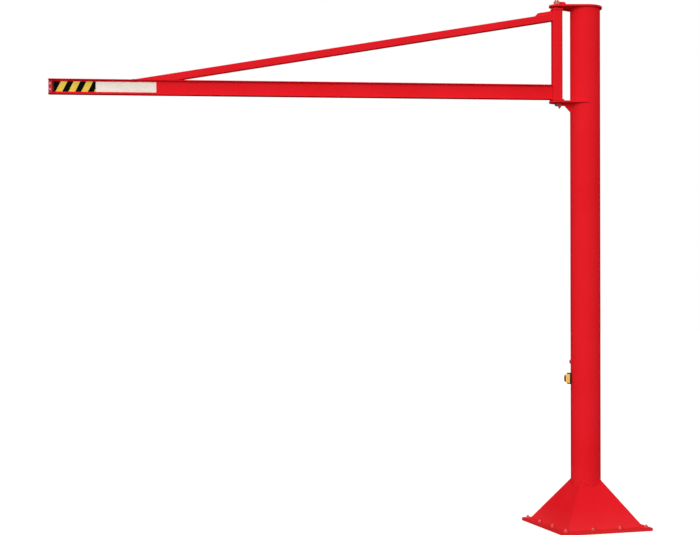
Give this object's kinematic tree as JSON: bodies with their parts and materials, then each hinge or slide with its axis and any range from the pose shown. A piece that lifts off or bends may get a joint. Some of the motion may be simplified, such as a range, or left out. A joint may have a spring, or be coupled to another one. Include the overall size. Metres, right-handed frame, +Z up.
{
  "type": "pillar mounted jib crane",
  "caption": "Pillar jib crane: round column on a square anchored foot with a pyramid skirt, slewing mast, rolled trolley beam and a diagonal tie above it.",
  "frame": {"origin": "centre of the base plate's underside, on the column's axis", "axes": "+Z up, -X from the column towards the swing axis, base plate sides along X and Y"},
  "size_m": [4.6671, 1.2787, 4.3283],
  "materials": {
    "red_enamel": "gloss powder coat",
    "dull_red": "worn gloss paint",
    "zinc_steel": "zinc plated",
    "dark_steel": "phosphated",
    "bronze": "machined",
    "black_plastic": "moulded",
    "golden_plastic": "moulded",
    "handle_plastic": "moulded"
  },
  "bodies": {
    "pillar": {"base_plate": "red_enamel", "skirt_front": "red_enamel", "skirt_back": "red_enamel", "skirt_left": "red_enamel", "skirt_right": "red_enamel", "column_tube": "red_enamel", "head_plate": "red_enamel", "bracket_plate": "red_enamel", "bracket_gusset": "red_enamel", "upper_pivot_stud": "dark_steel", "upper_washer": "zinc_steel", "upper_nut": "dark_steel", "upper_keeper": "red_enamel", "lower_pivot_stud": "dark_steel", "lower_lock_nut": "dark_steel", "lower_keeper": "dull_red", "thrust_washer": "bronze", "cable_boss": "dull_red", "switch_case": "black_plastic", "switch_cover": "golden_plastic", "switch_handle": "handle_plastic"},
    "jib": {"mast_tube": "red_enamel", "mast_cap": "red_enamel", "mast_foot": "red_enamel", "upper_bush": "bronze", "lower_bush": "bronze", "trolley_beam": "red_enamel", "tie_bar": "red_enamel", "tie_rib": "red_enamel", "stop_front": "dull_red", "stop_back": "dull_red", "stop_bolts": "zinc_steel"}
  },
  "joints": [
    {"name": "jib_swing", "type": "hinge", "parent": "pillar", "child": "jib", "pos_m": [-0.255, 0, 3.5], "axis": [0, 0, 1], "range_deg": [-123, 147]}
  ]
}
